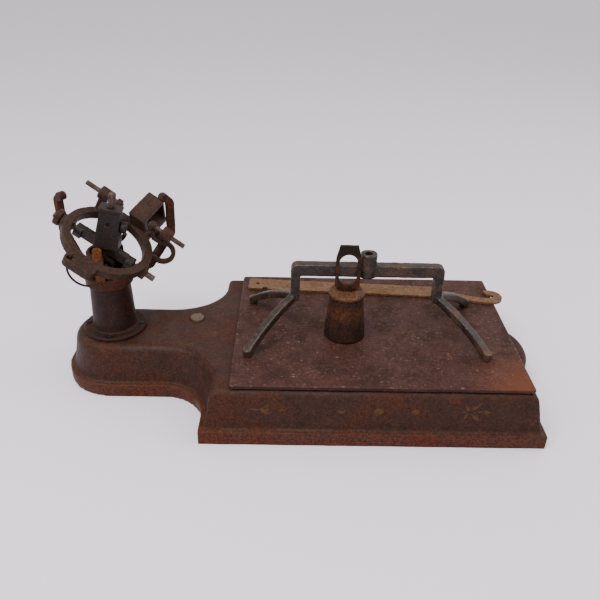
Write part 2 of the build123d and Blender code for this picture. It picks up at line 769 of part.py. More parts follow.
def fulcrum_stands(pivot_x, wall_x):
    """Two pairs of bearing cheeks on an end wall of the base, one pair at each pivot."""
    cheek_y = lever_width / 2 + link_clearance * 3
    low_x = min(pivot_x - 2 * pivot_radius, wall_x)
    high_x = max(pivot_x + 2 * pivot_radius, wall_x)
    for side in (-1, 1):
        with BuildSketch(Plane.XY.offset(stand_bottom)) as cheeks:
            for face in (-1, 1):
                face_y = side * pivot_gauge + face * (cheek_y + stand_width / 4)
                with Locations(((low_x + high_x) / 2, face_y)):
                    Rectangle(high_x - low_x, stand_width / 2)
        extrude(cheeks.sketch, amount=lever_height - stand_bottom)
        bearing_start = Vector(pivot_x, side * pivot_gauge - pivot_length, lever_height)
        bearing_end = Vector(pivot_x, side * pivot_gauge + pivot_length, lever_height)
        round_bar(bearing_start, bearing_end, pivot_radius + running_clearance, Mode.SUBTRACT)


end_wall = wall + plinth_ledge + stand_inset
with BuildPart() as long_lever_stands:
    fulcrum_stands(long_fulcrum_x, block_right - end_wall)
long_lever_stands.part.label = "long_lever_stands"
export_step(long_lever_stands.part, "parts/long_lever_stands.step")

with BuildPart() as short_lever_stands:
    fulcrum_stands(short_fulcrum_x, block_left + end_wall)
short_lever_stands.part.label = "short_lever_stands"
export_step(short_lever_stands.part, "parts/short_lever_stands.step")

# ---------------------------------------------------------------- platform and its feet
with BuildPart() as platform_plate:
    with BuildSketch(Plane.XY.offset(plate_bottom)):
        with Locations((platform_middle, 0)):
            RectangleRounded(platform_length, platform_depth, platform_corner)
    extrude(amount=plate_thickness)
    chamfer(platform_plate.faces().sort_by(Axis.Z)[-1].edges(), plate_thickness / 4)
platform_plate.part.label = "platform_plate"
export_step(platform_plate.part, "parts/platform_plate.step")

with BuildPart() as platform_feet:
    foot_y = lever_width / 2 + link_clearance * 3 + foot_width / 4
    for load_x in (long_load_x, short_load_x):
        for side in (-1, 1):
            with BuildSketch(Plane.XY.offset(lever_height)):
                for face in (-1, 1):
                    with Locations((load_x, side * pivot_gauge + face * foot_y)):
                        Rectangle(foot_depth, foot_width / 2)
            extrude(amount=plate_bottom - lever_height)
            foot_start = Vector(load_x, side * pivot_gauge - pivot_length, lever_height)
            foot_end = Vector(load_x, side * pivot_gauge + pivot_length, lever_height)
            round_bar(foot_start, foot_end, pivot_radius + running_clearance, Mode.SUBTRACT)
platform_feet.part.label = "platform_feet"
export_step(platform_feet.part, "parts/platform_feet.step")

# ---------------------------------------------------------------- shackles, bearing loop and wire
def shackle(side, name):
    """An iron hook that hangs from the inner end of a fulcrum pin: an eye, a neck and an open C."""
    eye = lever_point(pin_shift + side * shackle_gauge, fulcrum_back, fulcrum_rise)
    facing = Vector(cos(radians(shackle_turn)), sin(radians(shackle_turn)), 0)
    flat = Plane(origin=eye, x_dir=facing, z_dir=facing.cross(Vector(0, 0, 1)))
    throat = (side * shackle_shift, shackle_radius - shackle_drop)
    with BuildPart() as hook:
        with BuildSketch(flat.offset(-shackle_thickness / 2)):
            with BuildLine():
                Polyline((0, 0), (0, throat[1] * 0.7), throat)
                CenterArc((side * shackle_shift, -shackle_drop), shackle_radius, 90, -side * shackle_arc)
            trace(line_width=shackle_bar)
        extrude(amount=shackle_thickness)
        half_eye = pin_dir * (shackle_thickness / 2)
        round_bar(eye - half_eye, eye + half_eye, shackle_eye_radius)
        round_bar(eye - half_eye * 3, eye + half_eye * 3, fulcrum_pin_radius + running_clearance,
                  Mode.SUBTRACT)
    hook.part.label = name
    export_step(hook.part, f"parts/{name}.step")


shackle(1, "shackle_right")
shackle(-1, "shackle_left")

with BuildPart() as bearing_loop:
    loop_start = lever_point(-ring_outer - loop_gap, load_back, load_drop)
    loop_end = lever_point(-ring_outer - loop_gap - loop_thickness, load_back, load_drop)
    round_bar(loop_start, loop_end, loop_radius)
    fillet(bearing_loop.edges().filter_by(GeomType.CIRCLE), loop_thickness / 4)
    round_bar(loop_start, loop_end, load_pin_radius + running_clearance, Mode.SUBTRACT)
bearing_loop.part.label = "bearing_loop"
export_step(bearing_loop.part, "parts/bearing_loop.step")

wire_hole = lever_point(wire_along, -ring_outer - nose_reach / 2, 0)
wire_angle = radians(wire_hole_angle)
wire_centre = wire_hole - Vector(cos(wire_angle), 0, sin(wire_angle)) * wire_loop_radius
with BuildPart() as wire_loop:
    wire_ring(wire_centre, Vector(1, 0, 0), Vector(0, -1, 0), wire_loop_radius, wire_radius, wire_arc_start,
              wire_arc)
wire_loop.part.label = "wire_loop"
export_step(wire_loop.part, "parts/wire_loop.step")


# ---------------------------------------------------------------- cradle standing on the platform
def cradle_leg(across, along_y):
    """One arched leg from the foot of an end post out to its own corner."""
    post = Vector(cradle_centre[0] + across * cradle_half_span, cradle_centre[1], 0)
    reach = Vector(across * cradle_foot_reach, along_y * cradle_foot_gauge, 0)
    out = reach.normalized()
    leg_plane = Plane(origin=post, x_dir=out, z_dir=out.cross(Vector(0, 0, 1)))
    start = Vector(0, cradle_crotch + cradle_leg_width / 2)
    end = Vector(reach.length, platform_top + cradle_foot_height)
    with BuildSketch(leg_plane.offset(-cradle_leg_width / 2)) as leg:
        with BuildLine():
            ThreePointArc(start, (start + end) / 2 + Vector(0, cradle_leg_rise), end)
        trace(line_width=cradle_leg_width)
    extrude(leg.sketch, amount=cradle_leg_width)
    with BuildSketch(Plane.XY.offset(platform_top)) as pad:
        with Locations((post.X + reach.X, post.Y + reach.Y)):
            Circle(cradle_foot_radius)
    extrude(pad.sketch, amount=2 * cradle_foot_height)


with BuildPart() as cradle:
    cradle_plane = Plane.XZ.offset(-cradle_centre[1] - cradle_bar_width / 2)
    with BuildSketch(cradle_plane):
        with Locations((cradle_centre[0], (cradle_top + cradle_crotch) / 2)):
            Rectangle(2 * cradle_half_span + cradle_post_width, cradle_top - cradle_crotch)
        fillet(vertices().group_by(Axis.Y)[-1], cradle_post_width * 0.7)
        with Locations((cradle_centre[0], (cradle_top - cradle_bar_depth + cradle_crotch) / 2)):
            Rectangle(2 * cradle_half_span - cradle_post_width,
                      cradle_top - cradle_bar_depth - cradle_crotch, mode=Mode.SUBTRACT)
    extrude(amount=cradle_bar_width)
    for across in (-1, 1):
        for along_y in (-1, 1):
            cradle_leg(across, along_y)
    with BuildSketch(Plane.XY.offset(hub_bottom)):
        with Locations(cradle_centre):
            Circle(hub_radius)
    extrude(amount=hub_top - hub_bottom)
    with BuildSketch(Plane.XY.offset(hub_bottom)):
        with Locations(cradle_centre):
            Circle(hub_bore_radius)
    extrude(amount=hub_top - hub_bottom, mode=Mode.SUBTRACT)
    split(bisect_by=Plane.XY.offset(platform_top), keep=Keep.TOP)
cradle.part.label = "cradle"
export_step(cradle.part, "parts/cradle.step")

# ---------------------------------------------------------------- counter weight and its hanger
weight_top = platform_top + weight_height
weight_axis = Axis((weight_centre[0], weight_centre[1], 0), (0, 0, 1))
weight_plane = Plane(origin=(weight_centre[0], weight_centre[1], 0), x_dir=(1, 0, 0), z_dir=(0, -1, 0))
with BuildPart() as weight_body:
    with BuildSketch(weight_plane):
        with BuildLine():
            Polyline(
                (0, platform_top),
                (weight_base_radius - weight_edge_break, platform_top),
                (weight_base_radius, platform_top + weight_edge_break),
                (weight_base_radius, platform_top + 3 * weight_edge_break),
                (weight_top_radius, weight_top - weight_rim_height),
                (weight_rim_radius, weight_top - weight_rim_height + weight_edge_break),
                (weight_rim_radius, weight_top - weight_edge_break),
                (weight_rim_radius - weight_edge_break, weight_top),
                (0, weight_top),
                close=True,
            )
        make_face()
    revolve(axis=weight_axis)
    with BuildSketch(Plane.XY.offset(weight_top)):
        with Locations(weight_centre):
            Rectangle(hanger_tenon_width, hanger_thickness)
    extrude(amount=-hanger_tenon, mode=Mode.SUBTRACT)
    with BuildSketch(Plane.XY.offset(platform_top)):
        with Locations(weight_centre):
            Circle(lead_radius)
    extrude(amount=lead_depth, mode=Mode.SUBTRACT)
weight_body.part.label = "weight_body"
export_step(weight_body.part, "parts/weight_body.step")

with BuildPart() as weight_hanger:
    slot_middle = weight_top + hanger_slot_bottom + hanger_slot_height / 2
    corner = (hanger_width - hanger_top_width) / 2
    with BuildSketch(weight_plane.offset(-hanger_thickness / 2)):
        with Locations((0, weight_top + hanger_height / 2)):
            Rectangle(hanger_width, hanger_height)
        chamfer(vertices().group_by(Axis.Y)[-1], hanger_shoulder, corner)
        fillet(vertices().group_by(Axis.Y)[0], hanger_round)
        with Locations((0, weight_top - hanger_tenon / 2)):
            Rectangle(hanger_tenon_width, hanger_tenon)
        with Locations((0, slot_middle)):
            SlotOverall(hanger_slot_height, hanger_slot_width, rotation=90, mode=Mode.SUBTRACT)
    extrude(amount=hanger_thickness)
weight_hanger.part.label = "weight_hanger"
export_step(weight_hanger.part, "parts/weight_hanger.step")

with BuildPart() as lead_plug:
    with BuildSketch(Plane.XY.offset(platform_top + lead_recess)):
        with Locations(weight_centre):
            Circle(lead_radius)
    extrude(amount=lead_depth - lead_recess)
lead_plug.part.label = "lead_plug"
export_step(lead_plug.part, "parts/lead_plug.step")

# ---------------------------------------------------------------- weigh beam lying on the platform
beam_turn = radians(beam_yaw)
beam_plane = Plane(origin=(beam_left[0], beam_left[1], platform_top),
                   x_dir=(cos(beam_turn), sin(beam_turn), 0), z_dir=(0, 0, 1))
with BuildPart() as weigh_beam:
    with BuildSketch(beam_plane):
        with Locations((beam_length / 2, 0)):
            RectangleRounded(beam_length, beam_width, beam_corner)
        # the tail narrows, swings to the front and ends in a curled hook
        with BuildLine():
            tail = Spline([(beam_length + along, across)
                           for along, across in (tail_root, tail_bend, tail_drop, tail_end)])
            JernArc(tail @ 1, tail % 1, tail_curl, tail_curl_angle)
        trace(line_width=tail_width)
        with Locations((beam_hole_inset, 0)):
            Circle(beam_hole_radius, mode=Mode.SUBTRACT)
        with Locations((beam_notch_inset, -beam_width / 2)):
            Rectangle(beam_notch_width, 2 * beam_notch_depth, mode=Mode.SUBTRACT)
    extrude(amount=beam_thickness)
weigh_beam.part.label = "weigh_beam"
export_step(weigh_beam.part, "parts/weigh_beam.step")
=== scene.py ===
# %% [markdown]
# # An old counter scale in rusty cast iron
# A shopkeeper's platform scale: a low cast box with a long neck, a pillar on the neck that carries
# the beam lever between two horns, and on the platform a loose cradle, a weight and the weigh beam.
# The measured CAD model comes in first as a fixed frame. Everything made here is built around it,
# rides on one of its bodies and stays inside its box, so the scale keeps its size and its joints.

import json
from math import cos, radians, sin

import bpy
from mathutils import Matrix, Vector


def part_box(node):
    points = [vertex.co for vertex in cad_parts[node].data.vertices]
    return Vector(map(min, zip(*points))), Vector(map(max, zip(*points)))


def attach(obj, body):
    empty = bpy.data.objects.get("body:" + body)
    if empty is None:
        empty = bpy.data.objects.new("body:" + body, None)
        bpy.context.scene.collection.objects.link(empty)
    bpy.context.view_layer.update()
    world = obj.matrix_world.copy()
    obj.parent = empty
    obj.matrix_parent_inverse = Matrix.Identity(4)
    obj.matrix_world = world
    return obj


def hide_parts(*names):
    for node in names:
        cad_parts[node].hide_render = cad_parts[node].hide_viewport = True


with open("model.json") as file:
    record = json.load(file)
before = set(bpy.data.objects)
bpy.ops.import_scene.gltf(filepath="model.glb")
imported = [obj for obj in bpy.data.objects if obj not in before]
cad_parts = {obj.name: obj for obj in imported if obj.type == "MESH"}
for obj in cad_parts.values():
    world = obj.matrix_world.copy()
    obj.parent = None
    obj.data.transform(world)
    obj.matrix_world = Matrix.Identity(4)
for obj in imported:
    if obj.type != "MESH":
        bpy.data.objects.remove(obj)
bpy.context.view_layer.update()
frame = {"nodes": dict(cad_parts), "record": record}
record = frame["record"]
body_of = {node: body for body, nodes in record["behaviour"]["bodies"].items() for node in nodes}

# %% [markdown]
# ## Camera
# The viewer stands in front of the counter and looks down at about 30 degrees. A camera in Blender
# looks along its own -Z with +Y up, so its three axes are worked out from the yaw, the pitch and a
# slight roll, and go into a matrix. That is exact, where a Track To constraint would lose the roll.

# %% Camera
MM = 0.001
camera_place = Vector((-7.4, -661.95, 491.44)) * MM
yaw, pitch, roll = radians(0.962), radians(30.62), radians(-1.484)
lens_mm = 39.8

forward = Vector((sin(yaw) * cos(pitch), cos(yaw) * cos(pitch), -sin(pitch)))
level_right = Vector((cos(yaw), -sin(yaw), 0))
down = forward.cross(level_right)
right = level_right * cos(roll) + down * sin(roll)
up = level_right * sin(roll) - down * cos(roll)

camera = bpy.data.objects.new("camera", bpy.data.cameras.new("camera"))
camera.data.lens = lens_mm
camera.data.sensor_width = 36
axes = Matrix((right, up, -forward)).transposed()
camera.matrix_world = Matrix.Translation(camera_place) @ axes.to_4x4()
bpy.context.collection.objects.link(camera)
bpy.context.scene.camera = camera
print("camera", round(camera_place.length, 3), "m from the middle of the base")

# %% [markdown]
# ## Short calls for node trees
# Shader trees get long, so placing a node and feeding its sockets is one call here. A value that is
# itself a socket becomes a link, and anything else is set on the socket as a plain value. Colours are
# written as they look in a bright room. Old iron gives back less light than that, and less blue than
# red, so ROOM_SHADE turns each of them into the albedo behind it.

# %% Node helpers
def add(tree, kind, feeds=None, **settings):
    """Places a node, sets its options, and feeds its inputs by name or number."""
    node = tree.nodes.new(kind)
    for option, value in settings.items():
        setattr(node, option, value)
    for key, value in (feeds or {}).items():
        if isinstance(value, bpy.types.NodeSocket):
            tree.links.new(value, node.inputs[key])
        else:
            node.inputs[key].default_value = value
    return node


def calc(tree, operation, a, b=0.0):
    """One Math node, as a socket."""
    return add(tree, "ShaderNodeMath", {0: a, 1: b}, operation=operation).outputs[0]


def scaled(tree, value, share, start):
    """share times the value, plus start."""
    return add(tree, "ShaderNodeMath", {0: value, 1: share, 2: start},
               operation="MULTIPLY_ADD").outputs[0]


def ramp(tree, value, low, high):
    """0 below low, 1 above high, and a smooth rise between them."""
    feeds = {"Value": value, "From Min": low, "From Max": high}
    return add(tree, "ShaderNodeMapRange", feeds, interpolation_type="SMOOTHSTEP").outputs[0]


def blend(tree, factor, a, b):
    """One colour mix, as a socket."""
    feeds = {0: factor, 6: a, 7: b}
    return add(tree, "ShaderNodeMix", feeds, data_type="RGBA").outputs[2]


def srgb(red, green, blue):
    """A screen colour, 0 to 255, as the linear colour that a shader wants."""
    shares = [value / 255 for value in (red, green, blue)]
    line = [x / 12.92 if x < 0.0404 else ((x + 0.055) / 1.055) ** 2.4 for x in shares]
    return (*line, 1.0)


ROOM_SHADE = (0.44, 0.36, 0.31)


def old(red, green, blue):
    """A colour as it looks in a bright room, turned into the darker, warmer albedo behind it."""
    return (*[value * shade for value, shade in zip(srgb(red, green, blue), ROOM_SHADE)], 1.0)


def new_group(name, inputs, outputs):
    """An empty node group with named float sockets: its tree, its input node and its output node."""
    tree = bpy.data.node_groups.new(name, "ShaderNodeTree")
    for label, value in inputs.items():
        socket = tree.interface.new_socket(label, in_out="INPUT", socket_type="NodeSocketFloat")
        socket.default_value = value
    for label in outputs:
        tree.interface.new_socket(label, in_out="OUTPUT", socket_type="NodeSocketFloat")
    return tree, add(tree, "NodeGroupInput").outputs, add(tree, "NodeGroupOutput").inputs


def fed(tree, group, feeds):
    """A placed group whose sockets are set by their full names."""
    node = add(tree, "ShaderNodeGroup", node_tree=group)
    for label, value in feeds.items():
        if isinstance(value, bpy.types.NodeSocket):
            tree.links.new(value, node.inputs[label])
        else:
            node.inputs[label].default_value = value
    return node.outputs


def noise(tree, place, size, seed, detail=4.0, rough=0.6, distortion=0.0):
    """Fractal noise whose lumps are about size metres across. Each seed gives another pattern."""
    scale = calc(tree, "DIVIDE", 1.0, size)
    feeds = {"Vector": place, "W": seed, "Scale": scale, "Detail": detail, "Roughness": rough,
             "Distortion": distortion}
    return add(tree, "ShaderNodeTexNoise", feeds, noise_dimensions="4D").outputs[0]


print("node helpers ready")

# %% [markdown]
# ## Rust patches
# Old iron is never one colour. Paint and black skin wear through in blotches of many sizes, with
# finer mottling inside them. Object coordinates are metres here, so a patch keeps its real size on
# every piece, and it moves with the piece when a joint moves.

# %% Group: rust patches
rust_patches, given, out = new_group(
    "rust patches", {"Size": 0.03, "Cover": 0.5, "Seed": 0.0}, ["Patch", "Mottle", "Grit"])
place = add(rust_patches, "ShaderNodeTexCoord").outputs["Object"]
lumps = noise(rust_patches, place, given["Size"], given["Seed"], 7.0, 0.62, 0.5)
cut = scaled(rust_patches, given["Cover"], -0.4, 0.7)
above = calc(rust_patches, "SUBTRACT", lumps, cut)
rust_patches.links.new(ramp(rust_patches, above, -0.05, 0.07), out["Patch"])
small = calc(rust_patches, "MULTIPLY", given["Size"], 0.16)
seed_two = calc(rust_patches, "ADD", given["Seed"], 7.3)
mottle = noise(rust_patches, place, small, seed_two, 6.0, 0.7, 0.3)
rust_patches.links.new(ramp(rust_patches, mottle, 0.34, 0.68), out["Mottle"])
seed_three = calc(rust_patches, "ADD", given["Seed"], 13.1)
grit = noise(rust_patches, place, 0.0026, seed_three, 5.0, 0.8)
rust_patches.links.new(ramp(rust_patches, grit, 0.3, 0.72), out["Grit"])
print("group", rust_patches.name, "with", len(rust_patches.nodes), "nodes")

# %% [markdown]
# ## Edge wear and crease shade
# Handling polishes the ridges, and the Crease mask darkens the creases as a painted shade. On the
# cradle the pale ridges are also a painted highlight. On the finely meshed castings the Geometry node's
# Pointiness is above a half on a ridge and below it in a crease. A little noise breaks the line up,
# because wear is never an even stripe.

# %% Group: edge wear and crease shade
RAGGED_EDGE = 0.09
ridge_wear_and_crease_shade, given, out = new_group("ridge wear and crease shade", {"Reach": 0.05, "Seed": 0.0}, ["Ridge", "Crease"])
place = add(ridge_wear_and_crease_shade, "ShaderNodeTexCoord").outputs["Object"]
ragged = noise(ridge_wear_and_crease_shade, place, 0.004, given["Seed"], 4.0, 0.7)
ragged = scaled(ridge_wear_and_crease_shade, ragged, RAGGED_EDGE, -RAGGED_EDGE / 2)
point = calc(ridge_wear_and_crease_shade, "ADD", add(ridge_wear_and_crease_shade, "ShaderNodeNewGeometry").outputs["Pointiness"], ragged)
ridge_start = calc(ridge_wear_and_crease_shade, "ADD", 0.5, calc(ridge_wear_and_crease_shade, "MULTIPLY", given["Reach"], 0.3))
ridge_full = calc(ridge_wear_and_crease_shade, "ADD", 0.5, calc(ridge_wear_and_crease_shade, "MULTIPLY", given["Reach"], 1.8))
ridge = ramp(ridge_wear_and_crease_shade, point, ridge_start, ridge_full)
crease = calc(ridge_wear_and_crease_shade, "SUBTRACT", 1.0, ramp(ridge_wear_and_crease_shade, point, 0.38, 0.5))
ridge_wear_and_crease_shade.links.new(ridge, out["Ridge"])
ridge_wear_and_crease_shade.links.new(crease, out["Crease"])
print("group", ridge_wear_and_crease_shade.name, "with", len(ridge_wear_and_crease_shade.nodes), "nodes")

# %% [markdown]
# ## Cast skin
# Sand casting leaves a pebbled skin, and rust adds small round pits. Both are heights in metres,
# so one Bump node with a Distance of 1 m shows them at their true depth.

# %% Group: cast skin
cast_skin, given, out = new_group(
    "cast skin", {"Depth": 0.0002, "Pits": 0.5, "Seed": 0.0}, ["Height", "Pit"])
place = add(cast_skin, "ShaderNodeTexCoord").outputs["Object"]
pebbles = noise(cast_skin, place, 0.0022, given["Seed"], 5.0, 0.65)
waves = noise(cast_skin, place, 0.012, given["Seed"], 2.0, 0.5)
cells = add(cast_skin, "ShaderNodeTexVoronoi", {"Vector": place, "W": given["Seed"], "Scale": 260.0},
            voronoi_dimensions="4D").outputs["Distance"]
holes = calc(cast_skin, "SUBTRACT", 1.0, ramp(cast_skin, cells, 0.08, 0.3))
gate = ramp(cast_skin, noise(cast_skin, place, 0.016, given["Seed"], 3.0, 0.6), 0.5, 0.62)
pit = calc(cast_skin, "MULTIPLY", calc(cast_skin, "MULTIPLY", holes, gate), given["Pits"])
rolling = calc(cast_skin, "ADD", pebbles, calc(cast_skin, "MULTIPLY", waves, 0.9))
relief = calc(cast_skin, "SUBTRACT", rolling, calc(cast_skin, "MULTIPLY", pit, 0.8))
cast_skin.links.new(calc(cast_skin, "MULTIPLY", relief, given["Depth"]), out["Height"])
cast_skin.links.new(pit, out["Pit"])
print("group", cast_skin.name, "with", len(cast_skin.nodes), "nodes")

# %% [markdown]
# ## Flecks and scratches
# Small pale chips lie scattered on the platform, and fine scratches run across it where goods were
# slid on and off. Flecks are the middles of Voronoi cells, thinned out by noise. Scratches are a
# noise that is squeezed along X, so that its lumps become long thin lines.

# %% Group: flecks
flecks, given, out = new_group(
    "flecks", {"Size": 0.003, "Amount": 0.5, "Seed": 0.0}, ["Fleck", "Scratch"])
place = add(flecks, "ShaderNodeTexCoord").outputs["Object"]
scale = calc(flecks, "DIVIDE", 1.0, given["Size"])
stretched = add(flecks, "ShaderNodeMapping", {"Vector": place, "Scale": (0.7, 1, 1)}).outputs[0]
bent = noise(flecks, place, 0.0018, given["Seed"], 4.0, 0.7)
spots = add(flecks, "ShaderNodeTexVoronoi", {"Vector": stretched, "W": given["Seed"], "Scale": scale,
            "Randomness": 1.0}, voronoi_dimensions="4D").outputs["Distance"]
spots = calc(flecks, "SUBTRACT", spots, calc(flecks, "MULTIPLY", bent, 0.5))
spots = calc(flecks, "SUBTRACT", 1.0, ramp(flecks, spots, -0.04, 0.06))
thin_out = calc(flecks, "ADD", noise(flecks, place, 0.018, given["Seed"], 5.0, 0.7), given["Amount"])
kept = ramp(flecks, thin_out, 0.94, 1.1)
flecks.links.new(calc(flecks, "MULTIPLY", spots, kept), out["Fleck"])
squeezed = add(flecks, "ShaderNodeMapping", {
    "Vector": place, "Rotation": (0, 0, 0.25), "Scale": (0.1, 1, 1)})
lines = noise(flecks, squeezed.outputs[0], 0.0024, given["Seed"], 4.0, 0.65)
flecks.links.new(ramp(flecks, lines, 0.58, 0.7), out["Scratch"])
print("group", flecks.name, "with", len(flecks.nodes), "nodes")

# %% [markdown]
# ## Dust
# Dust settles on what faces up. The Normal output of Texture Coordinate belongs to the piece, not
# to the world, so the dust stays where it lay when a lever tips.

# %% Group: dust
dust, given, out = new_group("dust", {"Amount": 0.5, "Seed": 0.0}, ["Dust"])
coordinates = add(dust, "ShaderNodeTexCoord").outputs
upward = add(dust, "ShaderNodeSeparateXYZ", {0: coordinates["Normal"]}).outputs["Z"]
cloud = ramp(dust, noise(dust, coordinates["Object"], 0.02, given["Seed"], 6.0, 0.65), 0.3, 0.75)
layer = calc(dust, "MULTIPLY", ramp(dust, upward, 0.35, 0.95), cloud)
dust.links.new(calc(dust, "MULTIPLY", layer, given["Amount"]), out["Dust"])
print("group", dust.name, "with", len(dust.nodes), "nodes")

# %% [markdown]
# ## Old iron, the shared recipe
# Every iron piece has the same layers: a dark skin that shifts between two tones, rust in patches,
# orange rust in the mottling, a painted shade in the creases, worn ridges and dust. On the cradle the
# pale ridges are also a painted highlight. The layers are colours and masks. The Principled shader
# comes last and stays in the material, so that a piece can add its own paint, stain or polish before
# the shader is joined on.

# %% Iron recipe
GRIT_CONTRAST = 1.1
SKIN_ROUGHNESS = 0.5


def iron_layers(name, skin, skin_two, rust, bright_rust, ridge, seed, size=0.03, cover=0.5, bright=0.3,
                wear=0.5, crease_shade=0.7, dusty=0.10, depth=0.0003, pits=0.8, speckle=0.35, fine_mesh=True):
    """A new material with the shared layers. Gives its tree and the sockets to build on."""
    material = bpy.data.materials.new(name)
    material.use_nodes = True
    tree = material.node_tree
    tree.nodes.clear()
    broad = fed(tree, rust_patches, {"Size": size, "Cover": cover, "Seed": seed})
    close = fed(tree, rust_patches, {"Size": size * 0.35, "Cover": bright, "Seed": seed + 31.0})
    skin_form = fed(tree, cast_skin, {"Depth": depth, "Pits": pits, "Seed": seed + 3.0})
    colour = blend(tree, broad["Mottle"], old(*skin), old(*skin_two))
    colour = blend(tree, broad["Patch"], colour, old(*rust))
    spots = calc(tree, "MULTIPLY", close["Patch"], close["Mottle"])
    colour = blend(tree, spots, colour, old(*bright_rust))
    dots = fed(tree, flecks, {"Size": 0.0035, "Amount": 0.5, "Seed": seed + 17.0})
    colour = blend(tree, calc(tree, "MULTIPLY", dots["Fleck"], speckle), colour, old(*ridge))
    shaded = scaled(tree, close["Grit"], GRIT_CONTRAST, 1.0 - GRIT_CONTRAST / 2)
    colour = add(tree, "ShaderNodeVectorMath", {0: colour, "Scale": shaded},
                 operation="SCALE").outputs[0]
    rough = scaled(tree, broad["Patch"], 0.22, SKIN_ROUGHNESS)
    if fine_mesh:
        edges = fed(tree, ridge_wear_and_crease_shade, {"Reach": 0.05, "Seed": seed + 5.0})
        # Creases are darkened towards near black: a painted shade.
        colour = blend(tree, calc(tree, "MULTIPLY", edges["Crease"], crease_shade), colour, old(20, 14, 12))
        # Ridges are lightened: wear, and on the cradle also a painted highlight.
        ridge_wear_and_highlight = calc(tree, "MULTIPLY", edges["Ridge"], wear)
        colour = blend(tree, ridge_wear_and_highlight, colour, old(*ridge))
        rough = calc(tree, "SUBTRACT", rough, calc(tree, "MULTIPLY", ridge_wear_and_highlight, 0.22))
    settled = fed(tree, dust, {"Amount": dusty, "Seed": seed + 9.0})["Dust"]
    colour = blend(tree, settled, colour, old(150, 124, 108))
    colour = blend(tree, calc(tree, "MULTIPLY", skin_form["Pit"], 0.6), colour, old(28, 18, 14))
    return {"material": material, "tree": tree, "colour": colour, "rough": rough,
            "height": skin_form["Height"], "rust": broad["Patch"], "mottle": close["Mottle"],
            "grit": close["Grit"]}


def finish_iron(layers, metal=0.0, shine=0.14):
    """Joins the layers to one Principled shader and gives the material."""
    tree = layers["tree"]
    relief = add(tree, "ShaderNodeBump", {"Height": layers["height"], "Strength": 1.0, "Distance": 1.0})
    shader = add(tree, "ShaderNodeBsdfPrincipled", {
        "Base Color": layers["colour"], "Roughness": layers["rough"], "Normal": relief.outputs[0]})
    shader.inputs["Metallic"].default_value = metal
    shader.inputs["Specular IOR Level"].default_value = shine
    add(tree, "ShaderNodeOutputMaterial", {"Surface": shader.outputs[0]})
    return layers["material"]


def place_parts(tree):
    """Object coordinates in metres as three sockets."""
    place = add(tree, "ShaderNodeTexCoord").outputs["Object"]
    return add(tree, "ShaderNodeSeparateXYZ", {0: place}).outputs


print("iron recipe ready")

# %% [markdown]
# ## Painted ornament
# The front wall still shows a little of its old gilt: a lozenge with short tails on the left and a
# sprig of leaves on the right. The lettering that stood between them is left out, and three small
# worn lozenges take its place. Paint has no thickness worth modelling, so it is a mask: each leaf is
# an ellipse in X and Z that is turned by an angle and pointed at its ends.

# %% Group: painted leaf
painted_leaf, given, out = new_group(
    "painted leaf", {"X": 0.0, "Z": 0.04, "Angle": 0.0, "Length": 0.02, "Width": 0.004}, ["Leaf"])
axes_xyz = place_parts(painted_leaf)
from_x = calc(painted_leaf, "SUBTRACT", axes_xyz["X"], given["X"])
from_z = calc(painted_leaf, "SUBTRACT", axes_xyz["Z"], given["Z"])
turn_cos = calc(painted_leaf, "COSINE", given["Angle"])
turn_sin = calc(painted_leaf, "SINE", given["Angle"])
along = calc(painted_leaf, "ADD", calc(painted_leaf, "MULTIPLY", from_x, turn_cos),
             calc(painted_leaf, "MULTIPLY", from_z, turn_sin))
across = calc(painted_leaf, "SUBTRACT", calc(painted_leaf, "MULTIPLY", from_z, turn_cos),
              calc(painted_leaf, "MULTIPLY", from_x, turn_sin))
reach_along = calc(painted_leaf, "ABSOLUTE", calc(painted_leaf, "DIVIDE", along, given["Length"]))
reach_across = calc(painted_leaf, "ABSOLUTE", calc(painted_leaf, "DIVIDE", across, given["Width"]))
inside = calc(painted_leaf, "ADD", calc(painted_leaf, "POWER", reach_along, 1.4), reach_across)
covered = calc(painted_leaf, "SUBTRACT", 1.0, ramp(painted_leaf, inside, 0.8, 1.1))
painted_leaf.links.new(covered, out["Leaf"])
print("group", painted_leaf.name, "with", len(painted_leaf.nodes), "nodes")

# %% [markdown]
# ## Base iron
# The box keeps a dark brown skin, redder and more orange where it rusts through. Two things depend
# on the place: the plinth band at the bottom is the most orange, and the gilt sits on the front wall.

# %% Base iron
PLINTH_TOP = 0.0165
FRONT_PAINT_Y = -0.12
leaf_shapes = [
    (-0.0297, 0.0400, 0.0, 0.0085, 0.0062), (-0.0165, 0.0395, 0.05, 0.0070, 0.0012),
    (-0.0425, 0.0400, -0.05, 0.0065, 0.0012), (0.0480, 0.0395, 0.0, 0.0050, 0.0034),
    (0.0870, 0.0395, 0.0, 0.0060, 0.0040), (0.1260, 0.0398, 0.0, 0.0050, 0.0034),
    (0.1985, 0.0405, 0.0, 0.0080, 0.0024), (0.1890, 0.0468, 0.75, 0.0068, 0.0022),
    (0.1885, 0.0345, -0.75, 0.0068, 0.0022), (0.1800, 0.0445, 2.2, 0.0060, 0.0020),
    (0.1800, 0.0365, -2.2, 0.0060, 0.0020), (0.1800, 0.0405, 0.0, 0.0110, 0.0008),
]
base = iron_layers("base iron", (66, 46, 38), (84, 56, 46), (88, 56, 42), (112, 66, 42), (118, 86, 68),
                   seed=1.0, size=0.05, cover=0.42, bright=0.2, wear=0.4)
tree = base["tree"]
axes_xyz = place_parts(tree)
band_edge = calc(tree, "ADD", axes_xyz["Z"], calc(tree, "MULTIPLY", base["mottle"], 0.004))
band = calc(tree, "SUBTRACT", 1.0, ramp(tree, band_edge, PLINTH_TOP - 0.001, PLINTH_TOP + 0.004))
band = calc(tree, "MULTIPLY", band, ramp(tree, base["grit"], 0.15, 0.85))
